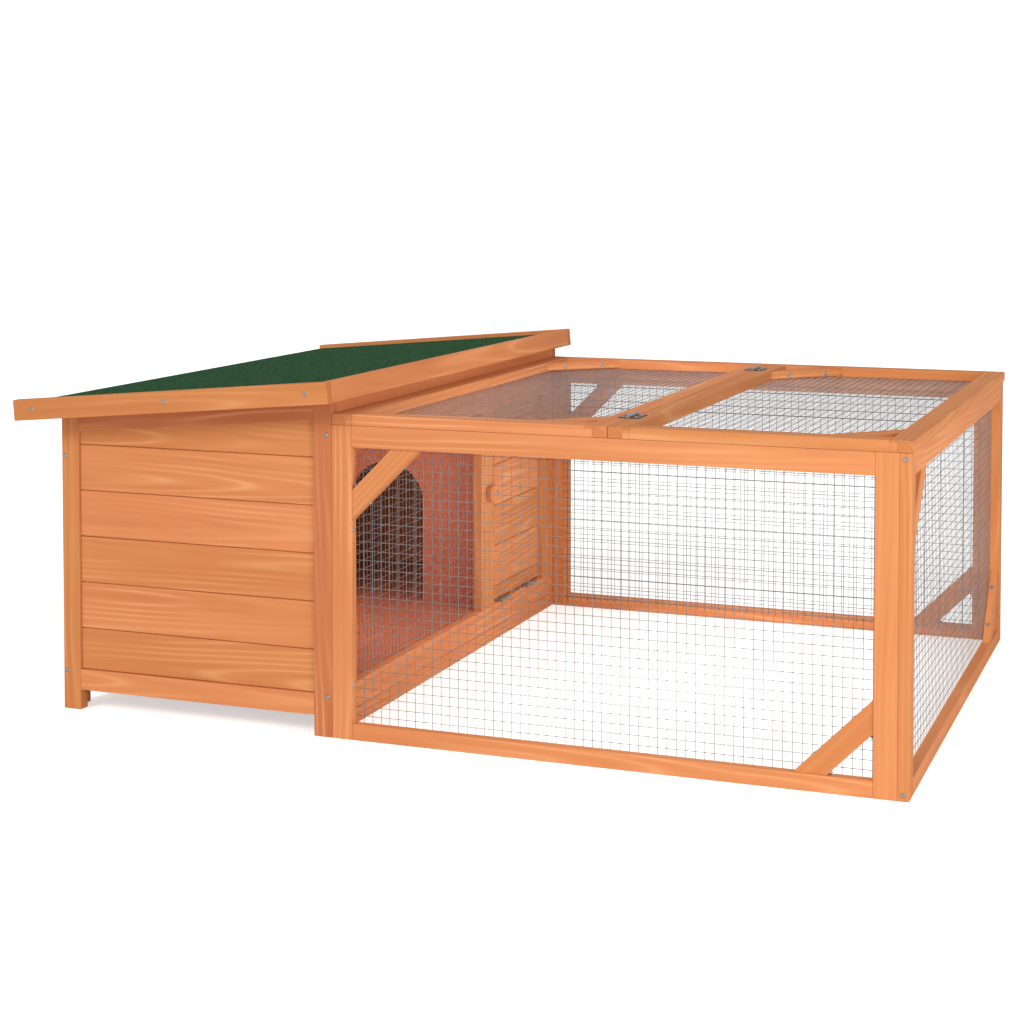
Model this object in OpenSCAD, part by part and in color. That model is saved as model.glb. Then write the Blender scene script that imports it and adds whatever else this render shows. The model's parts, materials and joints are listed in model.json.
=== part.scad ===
// Low garden rabbit hutch: a plank house with a hinged felt roof, a ramp door and a partition inside,
// beside an open-bottomed run of wire-mesh panels whose right-hand lid opens.
// Millimetres. The model stands on z = 0, centred on the box around it; the front faces -Y and the house is
// on the left. Dimensions are worked in a frame with its corner at the house's front left foot, and
// placed() moves them to the centred frame.

/* [House] */
// Width of the house over its side walls
house_w = 432; // [400:2:480]
// Depth of the house and the run, front to back
body_d = 915; // [880:5:960]
// Width of a corner post, seen from the front
post_w = 28; // [24:1:32]
// Depth of a corner post
post_d = 18; // [15:1:22]
// How far the wall planks sit behind the posts
plank_recess = 4; // [3:0.5:6]
// Height of one wall plank
plank_pitch = 66.7; // [60:0.1:68]
// Underside of the wall's bottom rail above the ground
rail_lift = 29; // [20:1:35]
// Top of the house floor
floor_top = 60; // [58:1:60]

/* [Roof] */
// Pitch of the roof, falling to the left
roof_pitch = 5.1; // [4:0.1:6]
// Overhang beyond the front and the back walls
roof_overhang = 41.5; // [30:0.5:60]
// Height of the roof board's underside at its low end
roof_low = 430.8; // [426:0.1:440]
// Thickness of the roof board
roof_board_t = 12; // [9:0.5:14]
// Thickness of the bitumen felt
felt_t = 2; // [1:0.5:3]
// How far the fascias stand above the felt
fascia_lip = 6.5; // [3:0.5:8]

/* [Run] */
// Width of the run, from the house to the outer face of the end panel
run_w = 788; // [760:2:840]
// Height of the run's side panels
run_h = 433; // [425:1:440]
// Width of the panel lumber
lumber_w = 30; // [26:1:34]
// Thickness of the panel lumber
lumber_t = 15; // [12:1:16]
// Height of the panels' bottom rail
bottom_rail_h = 22; // [18:1:30]
// Leg of a corner brace along the frame, to its inner edge
brace_leg = 101; // [90:1:120]
// Overhang of the lid over the end panel
lid_overhang = 2.5; // [1:0.5:4]

/* [Mesh] */
// Pitch of the welded wire mesh
mesh_pitch = 12.7; // [12.7:12.7:25.4]
// Thickness of the mesh wire
wire_d = 0.8; // [0.7:0.1:1.6]
// How far the mesh runs past the opening on the frame
mesh_lap = 10; // [6:1:10]

/* [Ramp door] */
// Width of the doorway between the posts
door_w = 230; // [200:1:240]
// Top of the ramp door
door_top = 385; // [375:1:395]
// Thickness of the door's planks
door_plank_t = 8; // [6:1:10]

/* [Hidden] */

$fn = 32;
hair = 0.5;                                   // gap between pieces that move past each other
contact_gap = 0.2;                            // gap between pieces that lie against each other

// House
wall_t = 15;
rail_h = 30;
top_rail_h = 32.5;
plank_groove = 1.5;
plank_gap = 0.4;
plank_back = plank_recess + 9;
plank_first = 60.2;                           // the lowest plank stands on the bottom rail
plank_count = 6;
plank_base = rail_lift + rail_h;
high_wall_x = house_w - wall_t;               // inner face of the wall that faces the run

// Roof
roof_x0 = -52.7;
fascia_h = 30;
fascia_t = 15;
high_fascia_t = 12;
high_fascia_gap = 2.4;                        // lets the roof swing clear of the wall below it
fascia_top = roof_board_t + felt_t + fascia_lip;
fascia_low = fascia_top - fascia_h;
function under_roof(x) = roof_low + (x - roof_x0) * tan(roof_pitch);
function wall_top(x) = under_roof(x) - hair;

// Openings in the wall that faces the run
lintel_z = door_top + 1;
sill_joint = 22;
rear_post_w = 54.5;
middle_post_w = 57.5;
door_y0 = body_d - post_d - rear_post_w - door_w;
window_y0 = post_d + post_w;
window_y1 = door_y0 - middle_post_w;
door_gap = 1.5;
door_face = high_wall_x + door_plank_t;
door_first = 85.5;                             // first joint between the door's planks
door_pitch = 68.2;
door_joints = 5;
batten_w = 30;
batten_t = 12;
batten_inset = 12.5;
batten_foot = 12;
batten_head = 7;

// Partition with an arched doorway
partition_y = 590;
partition_t = 9;
partition_end = 403;
arch_x = 245.6;
arch_r = 67.5;
arch_spring = 224.3;
floor_t = 9;
bearer_w = 15;
bearer_h = 22;
bearer_gap = 1;
board_gap = 0.25;
partition_gap = 1;                            // from the partition's top to the roof board

// Run
end_x = house_w + run_w;
brace_recess = 2;
brace_t = lumber_t - 2 * brace_recess;
lap_w = 10;
lap_d = 15;
lap_lip = 2.5;                                // the side rail's top, which runs on over the lap
lap_setback = 0.4;
lid_gap = 0.3;
lid_top = run_h + lid_gap + lumber_t;
fixed_lid_x = house_w + hair;
lid_split = (fixed_lid_x + end_x + lid_overhang) / 2;
fixed_lid_w = lid_split - hair - fixed_lid_x;
hinged_lid_x = lid_split + hair;
hinged_lid_w = end_x + lid_overhang - hinged_lid_x;

// Mesh
mesh_layer_gap = 0.05;
mesh_depth = 2 * wire_d + mesh_layer_gap;
first_upright = 8.7;                          // from the mesh's edge to its first wires
first_level = 5.7;

// Hinges
knuckle_r = 2.6;
pin_r = 1.3;
bore_r = 1.35;
leaf_t = 1.2;
ramp_leaf_t = 0.8;
ramp_leaf_drop = 0.9;
hinge_len = 43;
leaf_w = 14.5;
knuckle_end = 14;
knuckle_gap = 0.3;
plate_gap = 0.4;
plate_root = 1;                               // how far a knuckle's strap laps its plate
plate_drop = knuckle_r + contact_gap;         // from the axle to the face the plate lies on
lid_axle_z = lid_top + plate_drop;
lid_hinge_inset = 112;
roof_plate_drop = knuckle_r + 0.3;
roof_leaf_w = 20;
roof_axle_x = -plate_drop;
roof_axle_z = under_roof(roof_axle_x) - roof_plate_drop / cos(roof_pitch);
roof_hinge_inset = 150;
ramp_hinge_near = 26;
ramp_hinge_far = 39;
ramp_axle_x = house_w + plate_drop;
ramp_axle_z = floor_top + ramp_leaf_drop;
ramp_leaf_w = 16;
door_bottom = ramp_axle_z + ramp_leaf_drop;

// Turn button
button_r = 13;
button_reach = 14;
button_t = 10;
button_x = house_w + contact_gap;
button_y = door_y0 - button_r;
button_z = 249;

// Screws
head_r = 3.3;
leaf_head_r = 2.4;
head_h = 0.32;                                // a head's sizes, as shares of its radius
head_face = 0.8;
slot_len = 1.3;
slot_w = 0.26;
slot_floor = 0.4;                             // share of the head's height left under its cross recess
pivot_r = 1.65;
pivot_clearance = 0.05;
pin_inset = 0.2;
brace_screw_len = 50;
wall_screw_len = 40;
fascia_screw_len = 35;
leaf_screw_bite = 9;                          // how far a screw goes past the piece that it holds
button_screw_bite = 12;
post_screw_bite = 12;
corner_screw_bite = 15;
low_screw_z = 56;
left_screws = [5.5, 369];                     // inset from the wall's end, and the upper screw's height
right_screws = [7.9, 418];
corner_screw_inset = 8;
post_screw_levels = [75, 289];
fascia_screw_places = [30, 249, 468];

// Panels and roof
front_w = run_w - lumber_t;
roof_y0 = -roof_overhang + fascia_t;
roof_y1 = body_d + roof_overhang - fascia_t;
board_len = (house_w + high_fascia_gap - roof_x0) / cos(roof_pitch);
roof_len = board_len + high_fascia_t;

// Box around the whole hutch
far_left = roof_x0 - fascia_top * sin(roof_pitch);
far_right = end_x + lid_overhang;

fir = [0.90, 0.60, 0.38];
ply = [0.80, 0.50, 0.32];
felt_green = [0.17, 0.28, 0.19];
zinc = [0.62, 0.62, 0.63];
steel = [0.30, 0.30, 0.32];

module placed() {
    translate([-(far_left + far_right) / 2, -body_d / 2, 0]) children();
}

module block(from, to) {
    translate(from) cube(to - from);
}

// Prism with its outline in X and Z, between two depths
module xz_prism(outline, y0, y1) {
    translate([0, y1, 0]) rotate([90, 0, 0]) linear_extrude(y1 - y0) polygon(outline);
}

// Prism with its outline in Y and Z, between two places along X
module yz_prism(outline, x0, x1) {
    translate([x0, 0, 0]) rotate([90, 0, 90]) linear_extrude(x1 - x0) polygon(outline);
}

// Section of a plank whose visible edges are broken by a small V groove
function plank_section(face, back, z0, z1) =
    let (step = sign(back - face) * plank_groove, low = z0 + plank_gap / 2, high = z1 - plank_gap / 2)
    [[face, low + plank_groove], [face, high - plank_groove], [face + step, high],
     [back, high], [back, low], [face + step, low]];

function plank_low(i) = i == 0 ? plank_base : plank_base + plank_first + (i - 1) * plank_pitch;

// Mirrors a front-wall piece to the back wall
module at_back() {
    translate([0, body_d, 0]) mirror([0, 1, 0]) children();
}

module corner_post(x0) {
    x1 = x0 + post_w;
    xz_prism([[x0, 0], [x1, 0], [x1, wall_top(x1)], [x0, wall_top(x0)]], 0, post_d);
}

module end_wall_bottom_rail() {
    block([post_w, 0, rail_lift], [house_w - post_w, wall_t, plank_base]);
}

module end_wall_top_rail() {
    x0 = post_w;
    x1 = house_w - post_w;
    xz_prism([[x0, wall_top(x0) - top_rail_h], [x1, wall_top(x1) - top_rail_h],
        [x1, wall_top(x1)], [x0, wall_top(x0)]], 0, wall_t);
}

module end_wall_planks() {
    x0 = post_w;
    x1 = house_w - post_w;
    for (i = [0 : plank_count - 2])
        yz_prism(plank_section(plank_recess, plank_back, plank_low(i), plank_low(i + 1)), x0, x1);
    z0 = plank_low(plank_count - 1);
    intersection() {
        yz_prism(plank_section(plank_recess, plank_back, z0, z0 + 2 * plank_pitch), x0, x1);
        xz_prism([[x0, z0], [x1, z0], [x1, wall_top(x1) - top_rail_h], [x0, wall_top(x0) - top_rail_h]],
            0, wall_t);
    }
}

module house_front_left_post() { color(fir) placed() corner_post(0); }
module house_front_right_post() { color(fir) placed() corner_post(house_w - post_w); }
module house_back_left_post() { color(fir) placed() at_back() corner_post(0); }
module house_back_right_post() { color(fir) placed() at_back() corner_post(house_w - post_w); }
module front_wall_bottom_rail() { color(fir) placed() end_wall_bottom_rail(); }
module front_wall_top_rail() { color(fir) placed() end_wall_top_rail(); }
module front_wall_planks() { color(fir) placed() end_wall_planks(); }
module back_wall_bottom_rail() { color(fir) placed() at_back() end_wall_bottom_rail(); }
module back_wall_top_rail() { color(fir) placed() at_back() end_wall_top_rail(); }
module back_wall_planks() { color(fir) placed() at_back() end_wall_planks(); }

// The low side wall, with its planks' faces outward
module left_wall_stile() {
    xz_prism([[0, 0], [wall_t, 0], [wall_t, wall_top(wall_t)], [0, wall_top(0)]],
        post_d, post_d + post_w);
}

module left_wall_stiles() {
    color(fir) placed() {
        left_wall_stile();
        at_back() left_wall_stile();
    }
}

module left_wall_rails() {
    y0 = post_d + post_w;
    y1 = body_d - y0;
    low = wall_top(0) - top_rail_h;
    color(fir) placed() {
        block([0, y0, rail_lift], [wall_t, y1, plank_base]);
        xz_prism([[0, low], [wall_t, low], [wall_t, wall_top(wall_t)], [0, wall_top(0)]], y0, y1);
    }
}

module left_wall_planks() {
    y0 = post_d + post_w;
    y1 = body_d - y0;
    low = wall_top(0) - top_rail_h;
    color(fir) placed()
        for (i = [0 : plank_count - 1])
            xz_prism(plank_section(plank_recess, plank_back, plank_low(i),
                i < plank_count - 1 ? plank_low(i + 1) : low), y0, y1);
}

// The wall that faces the run: rails right through, posts between them
module right_wall_rail(z0, z1) {
    block([high_wall_x, post_d, z0], [house_w, body_d - post_d, z1]);
}

module right_wall_rails() {
    color(fir) placed() {
        right_wall_rail(0, sill_joint);
        right_wall_rail(sill_joint + plank_gap, floor_top);
        xz_prism([[high_wall_x, lintel_z], [house_w, lintel_z], [house_w, wall_top(house_w)],
            [high_wall_x, wall_top(high_wall_x)]], post_d, body_d - post_d);
    }
}

module right_wall_post(y0, y1) {
    block([high_wall_x, y0, floor_top], [house_w, y1, lintel_z]);
}

module right_wall_outer_posts() {
    color(fir) placed() {
        right_wall_post(post_d, window_y0);
        right_wall_post(door_y0 + door_w, body_d - post_d);
    }
}

module right_wall_middle_post() {
    color(fir) placed() right_wall_post(window_y1, door_y0);
}

// Wires of a welded mesh on a w by h field, lying just below z = 0; first and second are where they start
module wires(w, h, first, second) {
    for (x = [first : mesh_pitch : w])
        translate([x - wire_d / 2, 0, -wire_d]) cube([wire_d, h, wire_d]);
    for (y = [second : mesh_pitch : h])
        translate([0, y - wire_d / 2, -mesh_depth]) cube([w, wire_d, wire_d]);
}

module window_mesh() {
    w = window_y1 - window_y0 + 2 * mesh_lap;
    h = lintel_z - floor_top + 2 * mesh_lap;
    color(zinc) placed() translate([high_wall_x, window_y0 - mesh_lap, floor_top - mesh_lap])
        rotate([90, 0, 90]) wires(w, h, first_upright, first_level);
}

module partition_board() {
    x0 = wall_t + hair;
    color(ply) placed() translate([0, partition_y + partition_t, 0]) rotate([90, 0, 0])
        linear_extrude(partition_t) difference() {
            polygon([[x0, floor_top], [partition_end, floor_top],
                [partition_end, under_roof(partition_end) - partition_gap],
                [x0, under_roof(x0) - partition_gap]]);
            translate([arch_x, arch_spring]) circle(arch_r, $fn = 96);
            translate([arch_x - arch_r, floor_top - 1]) square([2 * arch_r, arch_spring - floor_top + 1]);
        }
}

module floor_board() {
    color(ply) placed()
        block([wall_t + contact_gap, post_d + contact_gap, floor_top - floor_t],
            [high_wall_x - mesh_depth - board_gap, body_d - post_d - contact_gap, floor_top]);
}

module floor_bearers() {
    top = floor_top - floor_t;
    bearer_y = post_d + bearer_gap;
    color(fir) placed()
        for (y = [bearer_y, (body_d - bearer_w) / 2, body_d - bearer_y - bearer_w])
            block([wall_t, y, top - bearer_h], [high_wall_x - mesh_depth - board_gap, y + bearer_w, top]);
}

// Mesh panels, drawn flat: x along the width, y along the height, outer face at z = 0, body below it
module panel_stiles(w, h) {
    for (x = [0, w - lumber_w])
        translate([x, 0, -lumber_t]) cube([lumber_w, h, lumber_t]);
}

module panel_rails(w, h, low) {
    block([lumber_w, 0, -lumber_t], [w - lumber_w, low, 0]);
    block([lumber_w, h - lumber_w, -lumber_t], [w - lumber_w, h, 0]);
}

// Corner brace at the origin, filling the corner between the legs at 45 degrees
module brace() {
    inner = brace_leg - lumber_w * sqrt(2);
    translate([0, 0, -brace_recess - brace_t]) linear_extrude(brace_t)
        polygon([[inner, 0], [brace_leg, 0], [0, brace_leg], [0, inner]]);
}

// Two screws driven square through the brace's long edge
module brace_screws() {
    for (share = [0.25, 0.75])
        translate([brace_leg * share, brace_leg * (1 - share), -brace_recess - brace_t / 2])
            rotate([0, 0, 45]) rotate([0, 90, 0]) screw(brace_screw_len);
}

// Puts a corner piece at the low-x high-y corner and at the high-x low-y corner of a panel's opening
module in_corners(w, h, low) {
    translate([lumber_w, h - lumber_w, 0]) mirror([0, 1, 0]) children();
    translate([w - lumber_w, low, 0]) mirror([1, 0, 0]) children();
}

module panel_mesh(w, h, low) {
    translate([lumber_w - mesh_lap, low - mesh_lap, -lumber_t])
        wires(w - 2 * (lumber_w - mesh_lap), h - lumber_w - low + 2 * mesh_lap, first_upright, first_level);
}

// Lid frame: side rails run full depth, and each end rail's tongues lap under a thin lip of theirs
module lid_side_rail() {
    difference() {
        block([0, 0, -lumber_t], [lumber_w, body_d, 0]);
        block([lumber_w - lap_w, -1, -lumber_t - 1], [lumber_w + 1, lap_d, -lap_lip]);
        block([lumber_w - lap_w, body_d - lap_d, -lumber_t - 1], [lumber_w + 1, body_d + 1, -lap_lip]);
    }
}

module lid_side_rails(w) {
    lid_side_rail();
    translate([w, 0, 0]) mirror([1, 0, 0]) lid_side_rail();
}

module lid_end_rail(w) {
    block([lumber_w, 0, -lumber_t], [w - lumber_w, lumber_w, 0]);
    block([lumber_w - lap_w, lap_setback, -lumber_t], [w - lumber_w + lap_w, lap_d, -lap_lip]);
}

module lid_end_rails(w) {
    lid_end_rail(w);
    at_back() lid_end_rail(w);
}

// Cross-recessed screw: head at the origin facing +z, shank below it
module screw(length, r = head_r) {
    h = head_h * r;
    slot = [slot_len * r, slot_w * r, h];
    difference() {
        cylinder(h = h, r1 = r, r2 = head_face * r);
        for (turn = [0, 90])
            rotate([0, 0, turn]) translate([-slot[0] / 2, -slot[1] / 2, slot_floor * h]) cube(slot);
    }
    translate([0, 0, -length]) cylinder(h = length, r = r / 2);
}

module at_front_panel() { placed() translate([house_w, 0, 0]) rotate([90, 0, 0]) children(); }
module at_back_panel() { placed() at_back() translate([house_w, 0, 0]) rotate([90, 0, 0]) children(); }
module at_side_panel() { placed() translate([end_x, 0, 0]) rotate([90, 0, 90]) children(); }
module at_fixed_lid() { placed() translate([fixed_lid_x, 0, lid_top]) children(); }
module at_hinged_lid() { placed() translate([hinged_lid_x, 0, lid_top]) children(); }

module front_panel_stiles() { color(fir) at_front_panel() panel_stiles(front_w, run_h); }
module front_panel_rails() { color(fir) at_front_panel() panel_rails(front_w, run_h, bottom_rail_h); }
module front_panel_braces() { color(fir) at_front_panel() in_corners(front_w, run_h, bottom_rail_h) brace(); }
module front_panel_mesh() {
    color(zinc) at_front_panel() panel_mesh(front_w, run_h, bottom_rail_h);
}

module back_panel_stiles() { color(fir) at_back_panel() panel_stiles(front_w, run_h); }
module back_panel_rails() { color(fir) at_back_panel() panel_rails(front_w, run_h, bottom_rail_h); }
module back_panel_braces() { color(fir) at_back_panel() in_corners(front_w, run_h, bottom_rail_h) brace(); }
module back_panel_mesh() {
    color(zinc) at_back_panel() panel_mesh(front_w, run_h, bottom_rail_h);
}

module side_panel_stiles() { color(fir) at_side_panel() panel_stiles(body_d, run_h); }
module side_panel_rails() { color(fir) at_side_panel() panel_rails(body_d, run_h, bottom_rail_h); }
module side_panel_braces() { color(fir) at_side_panel() in_corners(body_d, run_h, bottom_rail_h) brace(); }
module side_panel_mesh() {
    color(zinc) at_side_panel() panel_mesh(body_d, run_h, bottom_rail_h);
}

module fixed_lid_side_rails() { color(fir) at_fixed_lid() lid_side_rails(fixed_lid_w); }
module fixed_lid_end_rails() { color(fir) at_fixed_lid() lid_end_rails(fixed_lid_w); }
module fixed_lid_braces() { color(fir) at_fixed_lid() in_corners(fixed_lid_w, body_d, lumber_w) brace(); }
module fixed_lid_mesh() {
    color(zinc) at_fixed_lid() panel_mesh(fixed_lid_w, body_d, lumber_w);
}

module hinged_lid_side_rails() { color(fir) at_hinged_lid() lid_side_rails(hinged_lid_w); }
module hinged_lid_end_rails() { color(fir) at_hinged_lid() lid_end_rails(hinged_lid_w); }
module hinged_lid_braces() { color(fir) at_hinged_lid() in_corners(hinged_lid_w, body_d, lumber_w) brace(); }
module hinged_lid_mesh() {
    color(zinc) at_hinged_lid() panel_mesh(hinged_lid_w, body_d, lumber_w);
}

// Roof pieces lie in a frame along the slope, with z = 0 on the board's underside
module on_roof() { placed() translate([roof_x0, 0, roof_low]) rotate([0, -roof_pitch, 0]) children(); }

module roof_board() {
    color(ply) on_roof() block([felt_t, roof_y0, 0], [board_len, roof_y1, roof_board_t]);
}

// The felt covers the board and turns down over its low edge
module roof_felt() {
    color(felt_green) on_roof()
        xz_prism([[0, 0], [felt_t, 0], [felt_t, roof_board_t], [board_len, roof_board_t],
            [board_len, roof_board_t + felt_t], [0, roof_board_t + felt_t]], roof_y0, roof_y1);
}

module roof_front_fascia() {
    color(fir) on_roof() block([0, -roof_overhang, fascia_low], [roof_len, roof_y0, fascia_top]);
}

module roof_back_fascia() {
    color(fir) on_roof()
        block([0, roof_y1, fascia_low], [roof_len, body_d + roof_overhang, fascia_top]);
}

module roof_high_fascia() {
    color(fir) on_roof() block([board_len, roof_y0, fascia_low], [roof_len, roof_y1, fascia_top]);
}

// Ramp door: horizontal planks on two upright battens, hinged at the sill
module ramp_door_planks() {
    y0 = door_y0 + door_gap;
    y1 = door_y0 + door_w - door_gap;
    color(fir) placed()
        for (i = [0 : door_joints]) {
            z0 = i == 0 ? door_bottom : door_first + (i - 1) * door_pitch;
            z1 = i == door_joints ? door_top : door_first + i * door_pitch;
            xz_prism(plank_section(door_face, high_wall_x, z0, z1), y0, y1);
        }
}

module ramp_door_battens() {
    color(fir) placed()
        for (y = [door_y0 + batten_inset, door_y0 + door_w - batten_inset - batten_w])
            block([high_wall_x - batten_t, y, door_bottom + batten_foot],
                [high_wall_x, y + batten_w, door_top - batten_head]);
}

// Oval turn button that pivots near its end by the door
module turn_button() {
    color(fir) placed() translate([button_x, button_y, button_z]) rotate([90, 0, 90])
        linear_extrude(button_t) difference() {
            union() {
                circle(button_r, $fn = 64);
                translate([-button_reach, -button_r]) square([button_reach, 2 * button_r]);
                translate([-button_reach, 0]) circle(button_r, $fn = 64);
            }
            circle(pivot_r + pivot_clearance, $fn = 64);
        }
}

// Hinge leaf along +y, axle on the y axis, plate below it going to -x
module leaf(width, drop, outer, thick = leaf_t) {
    spans = outer ? [[0, knuckle_end], [hinge_len - knuckle_end, hinge_len]]
        : [[knuckle_end + knuckle_gap, hinge_len - knuckle_end - knuckle_gap]];
    reach = knuckle_r + plate_gap;
    difference() {
        union() {
            translate([-width, 0, -drop]) cube([width - reach, hinge_len, thick]);
            for (s = spans) {
                translate([0, s[0], 0]) rotate([-90, 0, 0]) cylinder(h = s[1] - s[0], r = knuckle_r);
                translate([-reach - plate_root, s[0], -drop]) cube([reach + plate_root, s[1] - s[0], thick]);
            }
        }
        translate([0, -1, 0]) rotate([-90, 0, 0]) cylinder(h = hinge_len + 2, r = bore_r);
    }
}

// Two small screws on a leaf's plate
module leaf_screws(width, drop) {
    for (share = [0.2, 0.8])
        translate([-(width + knuckle_r + plate_gap) / 2, hinge_len * share, leaf_t - drop])
            screw(leaf_t + leaf_screw_bite, leaf_head_r);
}

module pin() {
    translate([0, pin_inset, 0]) rotate([-90, 0, 0]) cylinder(h = hinge_len - 2 * pin_inset, r = pin_r);
}

module at_lid_hinges() {
    placed() for (y = [lid_hinge_inset, body_d - lid_hinge_inset])
        translate([lid_split, y - hinge_len / 2, lid_axle_z]) children();
}

module at_roof_hinges() {
    placed() for (y = [roof_hinge_inset, body_d - roof_hinge_inset])
        translate([roof_axle_x, y - hinge_len / 2, roof_axle_z]) children();
}

module at_ramp_hinges() {
    placed() for (y = [door_y0 + ramp_hinge_near, door_y0 + door_w - ramp_hinge_far - hinge_len])
        translate([ramp_axle_x, y, ramp_axle_z]) children();
}

module lid_hinge_fixed_leaves() { color(steel) at_lid_hinges() leaf(leaf_w, plate_drop, true); }
module lid_hinge_moving_leaves() {
    color(steel) at_lid_hinges() mirror([1, 0, 0]) leaf(leaf_w, plate_drop, false);
}
module roof_hinge_fixed_leaves() {
    color(steel) at_roof_hinges() rotate([0, -90, 0]) leaf(roof_leaf_w, plate_drop, true);
}
module roof_hinge_moving_leaves() {
    color(steel) at_roof_hinges() rotate([0, 180 - roof_pitch, 0]) mirror([1, 0, 0])
        leaf(roof_leaf_w, roof_plate_drop, false);
}
module ramp_hinge_fixed_leaves() {
    color(steel) at_ramp_hinges() leaf(ramp_leaf_w, ramp_leaf_drop, true, ramp_leaf_t);
}
module ramp_hinge_moving_leaves() {
    color(steel) at_ramp_hinges() mirror([0, 0, 1]) leaf(ramp_leaf_w, ramp_leaf_drop, false, ramp_leaf_t);
}
module hinge_pins() {
    color(steel) {
        at_lid_hinges() pin();
        at_roof_hinges() pin();
        at_ramp_hinges() pin();
    }
}

// Screws through the front and back faces, heads outward
module front_screw(x, z, length) {
    translate([x, 0, z]) rotate([90, 0, 0]) screw(length);
}

module end_wall_screws() {
    for (z = [low_screw_z, left_screws[1]])
        front_screw(left_screws[0], z, wall_screw_len);
    for (z = [low_screw_z, right_screws[1]])
        front_screw(house_w - right_screws[0], z, wall_screw_len);
}

module house_screws() {
    color(zinc) placed() {
        end_wall_screws();
        at_back() end_wall_screws();
        translate([button_x + button_t + contact_gap, button_y, button_z]) rotate([0, 90, 0])
            screw(button_t + button_screw_bite);
    }
    color(zinc) at_roof_hinges() rotate([0, -90, 0]) leaf_screws(roof_leaf_w, plate_drop);
}

module run_end_screws() {
    for (z = [corner_screw_inset, run_h - corner_screw_inset])
        front_screw(end_x - lumber_t / 2, z, lumber_w + corner_screw_bite);
    for (z = post_screw_levels)
        translate([house_w + lumber_w, lumber_t / 2, z]) rotate([0, 90, 0]) screw(lumber_w + post_screw_bite);
}

module run_screws() {
    color(zinc) {
        placed() {
            run_end_screws();
            at_back() run_end_screws();
        }
        at_front_panel() in_corners(front_w, run_h, bottom_rail_h) brace_screws();
        at_back_panel() in_corners(front_w, run_h, bottom_rail_h) brace_screws();
        at_side_panel() in_corners(body_d, run_h, bottom_rail_h) brace_screws();
        at_fixed_lid() in_corners(fixed_lid_w, body_d, lumber_w) brace_screws();
        at_lid_hinges() leaf_screws(leaf_w, plate_drop);
    }
}

module hinged_lid_screws() {
    color(zinc) {
        at_hinged_lid() in_corners(hinged_lid_w, body_d, lumber_w) brace_screws();
        at_lid_hinges() mirror([1, 0, 0]) leaf_screws(leaf_w, plate_drop);
    }
}

module fascia_screws() {
    for (x = fascia_screw_places)
        translate([x, -roof_overhang, roof_board_t / 2]) rotate([90, 0, 0]) screw(fascia_screw_len);
}

module roof_screws() {
    color(zinc) {
        on_roof() {
            fascia_screws();
            at_back() fascia_screws();
        }
        at_roof_hinges() rotate([0, 180 - roof_pitch, 0]) mirror([1, 0, 0])
            leaf_screws(roof_leaf_w, roof_plate_drop);
    }
}

house_front_left_post();
house_front_right_post();
house_back_left_post();
house_back_right_post();
front_wall_bottom_rail();
front_wall_top_rail();
front_wall_planks();
back_wall_bottom_rail();
back_wall_top_rail();
back_wall_planks();
left_wall_stiles();
left_wall_rails();
left_wall_planks();
right_wall_rails();
right_wall_outer_posts();
right_wall_middle_post();
window_mesh();
partition_board();
floor_board();
floor_bearers();
front_panel_stiles();
front_panel_rails();
front_panel_braces();
front_panel_mesh();
back_panel_stiles();
back_panel_rails();
back_panel_braces();
back_panel_mesh();
side_panel_stiles();
side_panel_rails();
side_panel_braces();
side_panel_mesh();
fixed_lid_side_rails();
fixed_lid_end_rails();
fixed_lid_braces();
fixed_lid_mesh();
hinged_lid_side_rails();
hinged_lid_end_rails();
hinged_lid_braces();
hinged_lid_mesh();
roof_board();
roof_felt();
roof_front_fascia();
roof_back_fascia();
roof_high_fascia();
ramp_door_planks();
ramp_door_battens();
turn_button();
lid_hinge_fixed_leaves();
lid_hinge_moving_leaves();
roof_hinge_fixed_leaves();
roof_hinge_moving_leaves();
ramp_hinge_fixed_leaves();
ramp_hinge_moving_leaves();
hinge_pins();
house_screws();
run_screws();
hinged_lid_screws();
roof_screws();
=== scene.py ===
"""Stained fir rabbit hutch with a felt roof and a welded-mesh run, in a white studio.

Metres, in the CAD frame.
"""

import json
import math

import bpy
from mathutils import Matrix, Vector

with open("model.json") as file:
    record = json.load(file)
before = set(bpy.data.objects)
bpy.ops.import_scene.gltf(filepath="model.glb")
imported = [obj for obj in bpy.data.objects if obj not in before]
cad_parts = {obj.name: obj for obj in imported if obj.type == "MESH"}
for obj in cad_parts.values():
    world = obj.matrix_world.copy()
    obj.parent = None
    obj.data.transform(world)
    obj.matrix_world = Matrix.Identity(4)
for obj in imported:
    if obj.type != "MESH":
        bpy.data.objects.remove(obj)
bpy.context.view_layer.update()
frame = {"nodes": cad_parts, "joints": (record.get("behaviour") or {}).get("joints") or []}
nodes = frame["nodes"]
scene = bpy.context.scene
MM = 0.001
WHITE = (1, 1, 1, 1)

# Stains, linear: light, middle and dark wood
FIR = ((0.715, 0.285, 0.112), (0.640, 0.228, 0.083), (0.480, 0.138, 0.044))
PLY = ((0.66, 0.235, 0.125), (0.58, 0.190, 0.100), (0.47, 0.135, 0.065))
PALE_LINE = (0.86, 0.43, 0.20)

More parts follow.
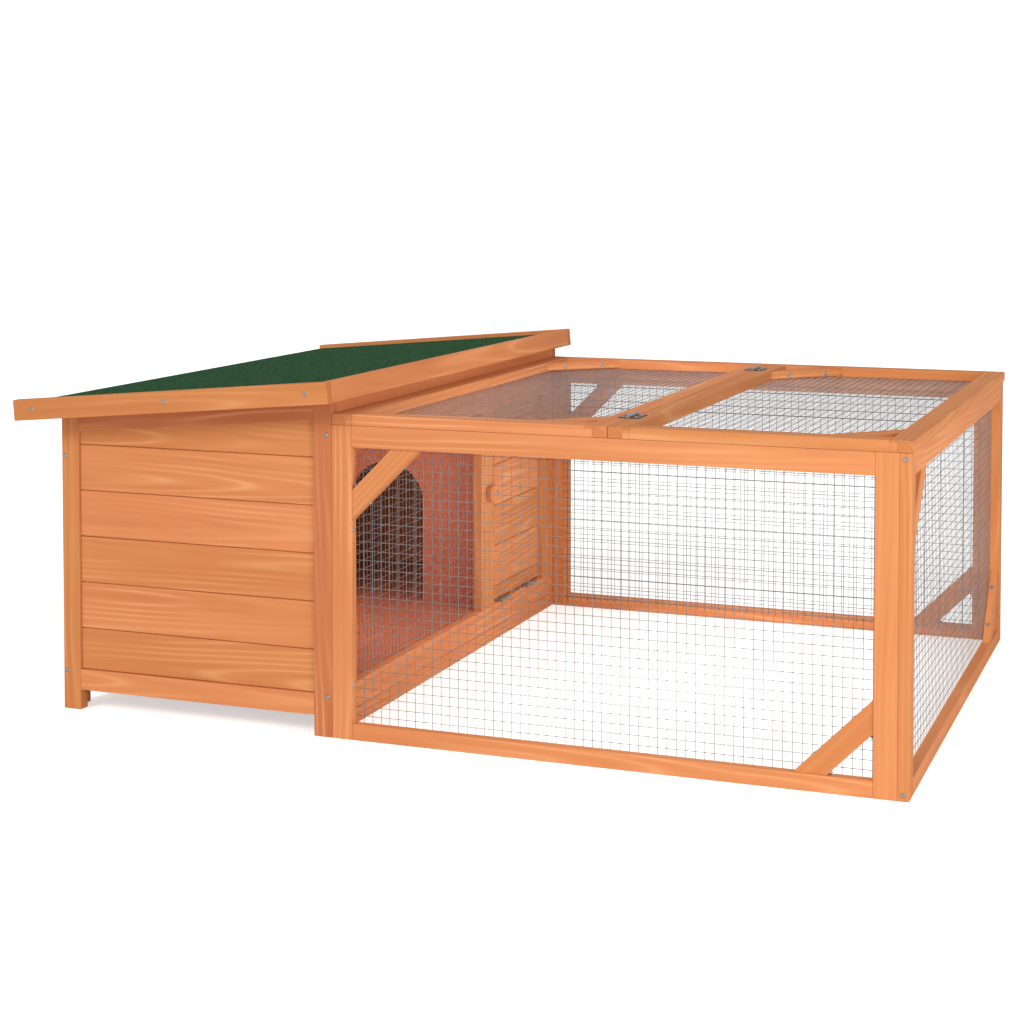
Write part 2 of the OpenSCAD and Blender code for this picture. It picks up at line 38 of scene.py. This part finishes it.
# Which way each board's grain runs
ROOT_HALF = math.sqrt(0.5)
ROOF_PITCH = math.radians(5.1)
GRAINS = {
    "z": (0, 0, 1),
    "x": (1, 0, 0),
    "y": (0, 1, 0),
    "slope": (math.cos(ROOF_PITCH), 0, math.sin(ROOF_PITCH)),
    "xz": (ROOT_HALF, 0, ROOT_HALF),
    "yz": (0, ROOT_HALF, ROOT_HALF),
    "xy": (ROOT_HALF, ROOT_HALF, 0),
}
BOARDS = {
    "z": ["house_front_left_post", "house_front_right_post", "house_back_left_post",
          "house_back_right_post", "left_wall_stiles", "right_wall_outer_posts",
          "right_wall_middle_post", "front_panel_stiles", "back_panel_stiles",
          "side_panel_stiles", "ramp_door_battens"],
    "x": ["front_wall_bottom_rail", "front_wall_planks", "back_wall_bottom_rail",
          "back_wall_planks", "floor_bearers", "front_panel_rails", "back_panel_rails",
          "fixed_lid_end_rails", "hinged_lid_end_rails"],
    "y": ["left_wall_rails", "left_wall_planks", "right_wall_rails", "side_panel_rails",
          "fixed_lid_side_rails", "hinged_lid_side_rails", "roof_high_fascia",
          "ramp_door_planks", "turn_button"],
    "slope": ["front_wall_top_rail", "back_wall_top_rail", "roof_front_fascia", "roof_back_fascia"],
    "xz": ["front_panel_braces", "back_panel_braces"],
    "yz": ["side_panel_braces"],
    "xy": ["fixed_lid_braces", "hinged_lid_braces"],
}

# Boards drawn darker: the right posts for their own deeper stain, the top rails for painted shade under
# the roof fascia; and how much of the fir's light they keep
STAINED_AND_SHADED_BOARDS = ["house_front_right_post", "house_back_right_post",
               "front_wall_top_rail", "back_wall_top_rail"]
STAIN_AND_SHADE_KEPT = (0.84, 0.76, 0.82)
STAINED_AND_SHADED_FIR = [tuple(part * kept for part, kept in zip(stain, STAIN_AND_SHADE_KEPT)) for stain in FIR]

# Where planks stand on one another: the height of the lowest joint, then the pitch of the rest
WALL_JOINTS = (119.2 * MM, 66.7 * MM)
DOOR_JOINTS = (85.5 * MM, 68.2 * MM)
PLANKS = {"front_wall_planks": WALL_JOINTS, "back_wall_planks": WALL_JOINTS,
          "left_wall_planks": WALL_JOINTS, "ramp_door_planks": DOOR_JOINTS}

SHEETS = ["partition_board", "floor_board", "roof_board"]
MESHES = [n for n in nodes if n.endswith("_mesh")]
SCREWS = [n for n in nodes if n.endswith("_screws")]
HINGES = [n for n in nodes if "hinge_" in n]


def joint_place(name):
    return next(j for j in frame["joints"] if j["name"] == name)["pos_m"]


class Graph:
    """A material's node tree, with one short call for each kind of node it needs."""

    def __init__(self, name):
        self.material = bpy.data.materials.new(name)
        self.material.use_nodes = True
        self.tree = self.material.node_tree
        self.tree.nodes.clear()
        output = self.add("ShaderNodeOutputMaterial")
        self.shader = self.add("ShaderNodeBsdfPrincipled")
        self.tree.links.new(self.shader.outputs["BSDF"], output.inputs["Surface"])

    def add(self, kind, **settings):
        made = self.tree.nodes.new(kind)
        for key, value in settings.items():
            setattr(made, key, value)
        return made

    def put(self, value, socket):
        """Links an output to the socket, or sets a constant on it."""
        if isinstance(value, bpy.types.NodeSocket):
            self.tree.links.new(value, socket)
        else:
            socket.default_value = value

    def math(self, operation, first, second=0.0):
        made = self.add("ShaderNodeMath", operation=operation)
        self.put(first, made.inputs[0])
        self.put(second, made.inputs[1])
        return made.outputs[0]

    def dot(self, vector, direction):
        made = self.add("ShaderNodeVectorMath", operation="DOT_PRODUCT")
        self.put(vector, made.inputs[0])
        made.inputs[1].default_value = direction
        return made.outputs["Value"]

    def vector(self, x, y, z):
        made = self.add("ShaderNodeCombineXYZ")
        for value, socket in zip((x, y, z), made.inputs):
            self.put(value, socket)
        return made.outputs[0]

    def noise(self, vector, scale, detail=2.0, roughness=0.5):
        made = self.add("ShaderNodeTexNoise")
        self.put(vector, made.inputs["Vector"])
        made.inputs["Scale"].default_value = scale
        made.inputs["Detail"].default_value = detail
        made.inputs["Roughness"].default_value = roughness
        return made.outputs["Fac"]

    def mix(self, factor, first, second, blend="MIX"):
        made = self.add("ShaderNodeMix", data_type="RGBA", blend_type=blend)
        self.put(factor, made.inputs["Factor"])
        for value, socket in ((first, made.inputs[6]), (second, made.inputs[7])):
            self.put((*value, 1) if isinstance(value, tuple) else value, socket)
        return made.outputs[2]

    def stretched(self, spot, scales, detail, roughness=0.5):
        """Noise at a spot in a board, with its own scale along the grain, across it and into the board."""
        parts = [self.math("MULTIPLY", part, scale) for part, scale in zip(spot, scales)]
        return self.noise(self.vector(*parts), 1.0, detail, roughness)

    def hypotenuse(self, first, second):
        squares = [self.math("MULTIPLY", side, side) for side in (first, second)]
        return self.math("SQRT", self.math("ADD", *squares))

    def spread(self, value, low, high, to_low=0.0, to_high=1.0):
        made = self.add("ShaderNodeMapRange", clamp=True)
        self.put(value, made.inputs["Value"])
        ends = {"From Min": low, "From Max": high, "To Min": to_low, "To Max": to_high}
        for key, number in ends.items():
            made.inputs[key].default_value = number
        return made.outputs["Result"]

    def bump(self, height, strength, distance):
        made = self.add("ShaderNodeBump")
        made.inputs["Strength"].default_value = strength
        made.inputs["Distance"].default_value = distance
        self.put(height, made.inputs["Height"])
        self.tree.links.new(made.outputs["Normal"], self.shader.inputs["Normal"])

    def place(self):
        return self.add("ShaderNodeTexCoord").outputs["Object"]

    def board_random(self, planks=None):
        """A number from 0 to 1 for the node, or for each of its planks, given where they join."""
        number = self.add("ShaderNodeObjectInfo").outputs["Random"]
        if planks:
            first, pitch = planks
            above = self.math("SUBTRACT", self.dot(self.place(), (0, 0, 1)), first)
            row = self.math("FLOOR", self.math("DIVIDE", above, pitch))
            number = self.math("ADD", number, self.math("MULTIPLY", row, PLANK_STEP))
        return self.math("FRACT", number)


# Between one plank's number and the next: the golden ratio's fraction, which keeps neighbours apart
PLANK_STEP = 0.618

# Growth rings, the arches they draw on a sawn face, and how far under that face the log's centre runs
RING_PITCH = 2.4 * MM
ARCH_SPAN = 150 * MM
ARCH_RISE = 26 * MM
PITH_DEPTH = 20 * MM
PITH_WANDER = 13 * MM
TRUNK_TAPER = 0.006

# How far apart in the log boards with the numbers 0 and 1 are: along, across and into it
LOG_STEPS = (11.0, 0.31, 0.17)

# Noise scales along the grain, across it and into the board, per metre
WANDER = (1.6, 5.0, 1.0)
PATCHES = (4.0, 14.0, 1.0)
FIBRE = (9.0, 460.0, 460.0)
STREAK = (2.5, 70.0, 70.0)
BROAD = (3.0, 16.0, 1.0)

# The stretch of a noise or wave over which its effect comes in
SOFT = (0.3, 0.7)
PATCH_EDGE = (0.42, 0.62)
LATE_EDGE = (0.2, -1.0)
STREAK_EDGE = (0.45, 0.75)
FIBRE_EDGE = (0.35, 0.75)
END_EDGE = (0.85, 0.98)

# How strongly each of them shows
FIR_FIGURE = 0.55
PLY_FIGURE = 0.3
LINE_POWER = 6.0
LATE_STAIN = 0.14
STREAK_STAIN = 0.34
FIBRE_LIGHT = 0.34
END_STAIN = 0.35
BOARD_TONES = (0.90, 1.06)
WOOD_ROUGHNESS = (0.60, 0.74)
WOOD_SPECULAR = 0.10
FIBRE_RELIEF = 0.6
RING_RELIEF = 0.4
WOOD_BUMP = (0.25, 0.25 * MM)


def wood(name, grain, stains, figure=FIR_FIGURE, planks=None):
    """Flat-sawn, stained softwood: arched growth rings, fine fibres and a tone for each node or plank."""
    g = Graph(name)
    light, mid, dark = stains
    along_axis = Vector(grain)
    across_axis = along_axis.orthogonal().normalized()
    depth_axis = along_axis.cross(across_axis)
    place = g.place()
    random = g.board_random(planks)
    spot = [g.math("ADD", g.dot(place, axis), g.math("MULTIPLY", random, step))
            for axis, step in zip((along_axis, across_axis, depth_axis), LOG_STEPS)]
    along, across, _ = spot

    # Growth rings, cut so that they rise and fall across the board and close in long pointed arches
    wander = g.stretched(spot, WANDER, detail=2.0)
    turn = g.math("MULTIPLY", across, 2 * math.pi / ARCH_SPAN)
    swing = g.math("MULTIPLY", g.math("SINE", turn), ARCH_RISE)
    below = g.math("ADD", g.math("MULTIPLY", wander, PITH_WANDER), PITH_DEPTH)
    reach = g.math("ADD", g.hypotenuse(swing, below), g.math("MULTIPLY", along, TRUNK_TAPER))
    wave = g.math("SINE", g.math("MULTIPLY", reach, 2 * math.pi / RING_PITCH))
    ring = g.math("POWER", g.spread(wave, -1.0, 1.0), LINE_POWER)
    patches = g.spread(g.stretched(spot, PATCHES, detail=1.0), *PATCH_EDGE)

    fibre = g.stretched(spot, FIBRE, detail=3.0, roughness=0.6)
    streak = g.stretched(spot, STREAK, detail=2.0)
    broad = g.stretched(spot, BROAD, detail=2.0)

    colour = g.mix(g.spread(broad, *SOFT), mid, light)
    colour = g.mix(g.math("MULTIPLY", g.math("MULTIPLY", ring, patches), figure), colour, PALE_LINE)
    colour = g.mix(g.math("MULTIPLY", g.spread(wave, *LATE_EDGE), LATE_STAIN), colour, dark)
    colour = g.mix(g.spread(streak, *STREAK_EDGE, 0.0, STREAK_STAIN), colour, dark)
    colour = g.mix(g.spread(fibre, *FIBRE_EDGE, 0.0, FIBRE_LIGHT), colour, light)
    tone = g.spread(random, 0.0, 1.0, *BOARD_TONES)
    colour = g.mix(1.0, colour, g.vector(tone, tone, g.math("MULTIPLY", tone, tone)), "MULTIPLY")

    # Sawn ends drink more stain
    normal = g.add("ShaderNodeTexCoord").outputs["Normal"]
    facing = g.math("ABSOLUTE", g.dot(normal, along_axis))
    colour = g.mix(g.spread(facing, *END_EDGE, 0.0, END_STAIN), colour, dark)

    g.put(colour, g.shader.inputs["Base Color"])
    g.put(g.spread(fibre, *SOFT, *WOOD_ROUGHNESS), g.shader.inputs["Roughness"])
    g.shader.inputs["Specular IOR Level"].default_value = WOOD_SPECULAR
    relief = g.math("ADD", g.math("MULTIPLY", fibre, FIBRE_RELIEF), g.math("MULTIPLY", ring, RING_RELIEF))
    g.bump(relief, *WOOD_BUMP)
    return g.material


# Mineral felt: its colours, and its granules, specks and clouds per metre
FELT_DARK = (0.010, 0.036, 0.015)
FELT_MID = (0.028, 0.090, 0.036)
FELT_LIGHT = (0.085, 0.200, 0.095)
GRANULES = 250.0
SPECKS = 300.0
CLOUDS = 14.0
GRANULE_MIX = (0.4, 0.3, 0.3)
GRANULE_EDGE = (0.25, 0.8)
SPECK_EDGE = (0.52, 0.66)
CLOUD_EDGE = (0.35, 0.7)
SPECK_LIGHT = 0.85
CLOUD_TINT = 0.25
SPECK_RELIEF = 0.5
FELT_ROUGHNESS = 1.0
FELT_SPECULAR = 0.03
FELT_BUMP = (0.9, 0.8 * MM)


def felt():
    """Green mineral felt: bitumen under packed granules."""
    g = Graph("mineral_felt")
    place = g.place()
    granules = g.add("ShaderNodeTexVoronoi")
    g.put(place, granules.inputs["Vector"])
    granules.inputs["Scale"].default_value = GRANULES
    tint = g.dot(granules.outputs["Color"], GRANULE_MIX)
    cloud = g.noise(place, CLOUDS, detail=3.0)
    speck = g.noise(place, SPECKS, detail=2.0)
    colour = g.mix(g.spread(tint, *GRANULE_EDGE), FELT_DARK, FELT_MID)
    colour = g.mix(g.spread(speck, *SPECK_EDGE, 0.0, SPECK_LIGHT), colour, FELT_LIGHT)
    colour = g.mix(g.spread(cloud, *CLOUD_EDGE, 0.0, CLOUD_TINT), colour, FELT_MID)
    g.put(colour, g.shader.inputs["Base Color"])
    g.shader.inputs["Roughness"].default_value = FELT_ROUGHNESS
    g.shader.inputs["Specular IOR Level"].default_value = FELT_SPECULAR
    relief = g.math("SUBTRACT", g.math("MULTIPLY", speck, SPECK_RELIEF), granules.outputs["Distance"])
    g.bump(relief, *FELT_BUMP)
    return g.material


# Plated steel: dark and light tone, roughness, how metallic, and cloudy patches per metre
WIRE_STEEL = ((0.17, 0.165, 0.165), (0.26, 0.25, 0.25), 0.50, 0.25, 60.0)
SCREW_STEEL = ((0.34, 0.34, 0.35), (0.52, 0.52, 0.53), 0.32, 0.9, 300.0)
DARK_PLATE = ((0.055, 0.052, 0.055), (0.13, 0.125, 0.13), 0.38, 0.7, 120.0)
BRIGHT_PLATE = ((0.30, 0.28, 0.27), (0.46, 0.43, 0.41), 0.38, 0.7, 120.0)
PATCH_BLEND = (0.35, 0.65)
SPECKLES_PER_PATCH = 14.0
SPECKLE_ROUGHNESS = (-0.08, 0.10)
STEEL_BUMP = (0.15, 0.05 * MM)

# Hinges, by joint. A highlight is painted on their knuckles, out to this far from the axle
HINGE_PLATES = {"lid_hinge": DARK_PLATE, "roof_hinge": DARK_PLATE, "ramp_hinge": BRIGHT_PLATE}
KNUCKLE_R = 2.7 * MM
KNUCKLE_FADE = 0.4 * MM
KNUCKLE_HIGHLIGHT = (0.42, 0.40, 0.40)


def from_axle(g, place, joint):
    """How far a point is from the axle of a hinge whose pin lies along Y."""
    x, _, z = joint_place(joint)
    away_x = g.math("SUBTRACT", g.dot(place, (1, 0, 0)), x)
    away_z = g.math("SUBTRACT", g.dot(place, (0, 0, 1)), z)
    return g.hypotenuse(away_x, away_z)


def metal(name, dark, light, roughness, metallic, patches, joint=None):
    """Plated steel with cloudy patches and a fine speckle, with a highlight painted on the knuckles of a
    joint.
    """
    g = Graph(name)
    place = g.place()
    cloud = g.noise(place, patches, detail=3.0, roughness=0.6)
    speckle = g.noise(place, patches * SPECKLES_PER_PATCH, detail=2.0)
    colour = g.mix(g.spread(cloud, *PATCH_BLEND), dark, light)
    if joint:
        # Painted highlight: the knuckles are drawn lighter than the leaves
        away = from_axle(g, place, joint)
        painted_highlight = g.spread(away, KNUCKLE_R, KNUCKLE_R + KNUCKLE_FADE, 1.0, 0.0)
        colour = g.mix(painted_highlight, colour, KNUCKLE_HIGHLIGHT)
    g.put(colour, g.shader.inputs["Base Color"])
    g.shader.inputs["Metallic"].default_value = metallic
    ends = [roughness + change for change in SPECKLE_ROUGHNESS]
    g.put(g.spread(speckle, *SOFT, *ends), g.shader.inputs["Roughness"])
    g.bump(speckle, *STEEL_BUMP)
    return g.material


# How far edges are rounded
BOARD_EASE = 0.9 * MM
SHEET_EASE = 0.4 * MM
WIRE_EASE = 0.3 * MM
SCREW_EASE = 0.15 * MM
HINGE_EASE = 0.2 * MM
FELT_EASE = 0.5 * MM

# Corners this close are one corner, and an edge sharper than this is rounded
WELD_GAP = 0.01 * MM
SHARP_EDGE = math.radians(35)
LARGE_FACES_RULE = 100


def dress(name, material):
    """The node's whole mesh takes the material."""
    mesh = nodes[name].data
    mesh.materials.clear()
    mesh.materials.append(material)


def soften(name, width, segments=2):
    """Joins the corners of each solid, rounds its sharp edges a little and shades its flats flat."""
    weld = nodes[name].modifiers.new("weld", "WELD")
    weld.merge_threshold = WELD_GAP
    bevel = nodes[name].modifiers.new("eased_edges", "BEVEL")
    bevel.width = width
    bevel.segments = segments
    bevel.limit_method = "ANGLE"
    bevel.angle_limit = SHARP_EDGE
    normals = nodes[name].modifiers.new("flat_faces", "WEIGHTED_NORMAL")
    normals.mode = "FACE_AREA"
    normals.weight = LARGE_FACES_RULE
    normals.keep_sharp = False


def shared_wood(name, direction, stains):
    """One fir for all the boards that lie this way, made when the first of them needs it."""
    return bpy.data.materials.get(name) or wood(name, GRAINS[direction], stains)


def board_wood(name, direction):
    if name in PLANKS:
        return wood(name + "_fir", GRAINS[direction], FIR, planks=PLANKS[name])
    # Darker fir: deeper stain on the right posts, painted shade under the fascia on the top rails
    if name in STAINED_AND_SHADED_BOARDS:
        return shared_wood("stained_and_shaded_fir_" + direction, direction, STAINED_AND_SHADED_FIR)
    return shared_wood("fir_" + direction, direction, FIR)


def finish_wood():
    for direction, names in BOARDS.items():
        for name in names:
            dress(name, board_wood(name, direction))
            soften(name, BOARD_EASE)
    plywood = wood("plywood", GRAINS["y"], PLY, PLY_FIGURE)
    for name in SHEETS:
        dress(name, plywood)
        soften(name, SHEET_EASE)


def finish_metal():
    wire = metal("galvanised_wire", *WIRE_STEEL)
    screw = metal("zinc_screws", *SCREW_STEEL)
    plates = {joint: metal(joint + "_plate", *steel, joint) for joint, steel in HINGE_PLATES.items()}
    for name in MESHES:
        dress(name, wire)
        soften(name, WIRE_EASE)
    for name in SCREWS:
        dress(name, screw)
        soften(name, SCREW_EASE, segments=1)
    for name in HINGES:
        joint = name.split("hinge_")[0] + "hinge"
        dress(name, plates.get(joint, screw))
        soften(name, HINGE_EASE)


def finish_felt():
    dress("roof_felt", felt())
    soften("roof_felt", FELT_EASE)


# The studio: a white floor and surroundings
FLOOR_SIZE = 60
FLOOR_TONES = ((0.88, 0.88, 0.88), (0.92, 0.92, 0.92))
FLOOR_CLOUDS = 3.0
FLOOR_ROUGHNESS = 0.9
FLOOR_GLOW = 0.55
WORLD_LIGHT = 0.56
BACKDROP_LIGHT = 1.05

# Its lamps: a sun from the left, a disk at the front right and the light thrown back inside
KEY_LIGHT = 1.38
KEY_SPREAD = math.radians(22)
KEY_COLOUR = (1.0, 0.985, 0.96)
KEY_TOWARDS = Vector((0.35, 0.95, -0.75))
FILL_LIGHT = 36.0
FILL_SIZE = 1.6
FILL_COLOUR = (1.0, 0.98, 0.95)
FILL_PLACE = Vector((2.6, -1.7, 0.75))
FILL_TARGET = Vector((-0.15, 0.0, 0.22))
BOUNCES = {"front_room_bounce": ((-0.284, -0.15, 0.34), 1.3), "run_bounce": ((0.20, 0.02, 0.31), 2.4)}
BOUNCE_SIZE = 0.12
BOUNCE_COLOUR = (1.0, 0.97, 0.94)

# The camera: fitted to the photo, but looking 2.5 degrees down where the photo's looks level
SENSOR_MM = 36.0
LENS_MM = 68.984
CAMERA_SHIFT = -0.2441
CAMERA_REACH = 100
CAMERA_PLACE = (1.0279, -2.8639, 0.7719)
CAMERA_TURN = (math.radians(87.5), 0, math.radians(20.833))


def make_floor():
    """White sweep, whose glow only the camera sees: it keeps the ground white and lights nothing."""
    bpy.ops.mesh.primitive_plane_add(size=FLOOR_SIZE)
    floor = bpy.context.object
    floor.name = "floor"
    g = Graph("white_sweep")
    tone = g.noise(g.place(), FLOOR_CLOUDS, detail=2.0)
    g.put(g.mix(tone, *FLOOR_TONES), g.shader.inputs["Base Color"])
    g.shader.inputs["Roughness"].default_value = FLOOR_ROUGHNESS
    g.shader.inputs["Emission Color"].default_value = WHITE
    seen = g.add("ShaderNodeLightPath").outputs["Is Camera Ray"]
    g.put(g.math("MULTIPLY", seen, FLOOR_GLOW), g.shader.inputs["Emission Strength"])
    floor.data.materials.append(g.material)


def make_world():
    """Even white light, with a clean white behind the object."""
    world = bpy.data.worlds.new("studio")
    scene.world = world
    world.use_nodes = True
    tree = world.node_tree
    light = tree.nodes["Background"]
    light.inputs["Color"].default_value = WHITE
    light.inputs["Strength"].default_value = WORLD_LIGHT
    backdrop = tree.nodes.new("ShaderNodeBackground")
    backdrop.inputs["Color"].default_value = WHITE
    backdrop.inputs["Strength"].default_value = BACKDROP_LIGHT
    path = tree.nodes.new("ShaderNodeLightPath")
    mix = tree.nodes.new("ShaderNodeMixShader")
    tree.links.new(path.outputs["Is Camera Ray"], mix.inputs[0])
    tree.links.new(light.outputs[0], mix.inputs[1])
    tree.links.new(backdrop.outputs[0], mix.inputs[2])
    tree.links.new(mix.outputs[0], tree.nodes["World Output"].inputs["Surface"])


def make_lamp(name, kind, energy, colour):
    lamp = bpy.data.objects.new(name, bpy.data.lights.new(name, kind))
    lamp.data.energy = energy
    lamp.data.color = colour
    scene.collection.objects.link(lamp)
    return lamp


def aim(lamp, towards):
    lamp.rotation_euler = towards.to_track_quat("-Z", "Y").to_euler()


def make_key():
    """Broad soft key from the front, above and a little left."""
    key = make_lamp("key", "SUN", KEY_LIGHT, KEY_COLOUR)
    key.data.angle = KEY_SPREAD
    aim(key, KEY_TOWARDS)


def make_fill():
    """Low soft fill from the front right, which reaches through the run into the house."""
    fill = make_lamp("fill", "AREA", FILL_LIGHT, FILL_COLOUR)
    fill.data.shape = "DISK"
    fill.data.size = FILL_SIZE
    fill.location = FILL_PLACE
    aim(fill, FILL_TARGET - FILL_PLACE)


def make_bounces():
    """Small lamps for the light that white surroundings throw back into closed-in places."""
    for name, (place, energy) in BOUNCES.items():
        bounce = make_lamp(name, "POINT", energy, BOUNCE_COLOUR)
        bounce.data.shadow_soft_size = BOUNCE_SIZE
        bounce.location = place
        bounce.visible_camera = False
        bounce.visible_glossy = False


def make_camera():
    data = bpy.data.cameras.new("camera")
    data.sensor_width = SENSOR_MM
    data.lens = LENS_MM
    data.shift_y = CAMERA_SHIFT
    data.clip_end = CAMERA_REACH
    camera = bpy.data.objects.new("camera", data)
    camera.location = CAMERA_PLACE
    camera.rotation_euler = CAMERA_TURN
    scene.collection.objects.link(camera)
    scene.camera = camera


finish_wood()
finish_metal()
finish_felt()
make_floor()
make_world()
make_key()
make_fill()
make_bounces()
make_camera()
scene.view_settings.view_transform = "Standard"
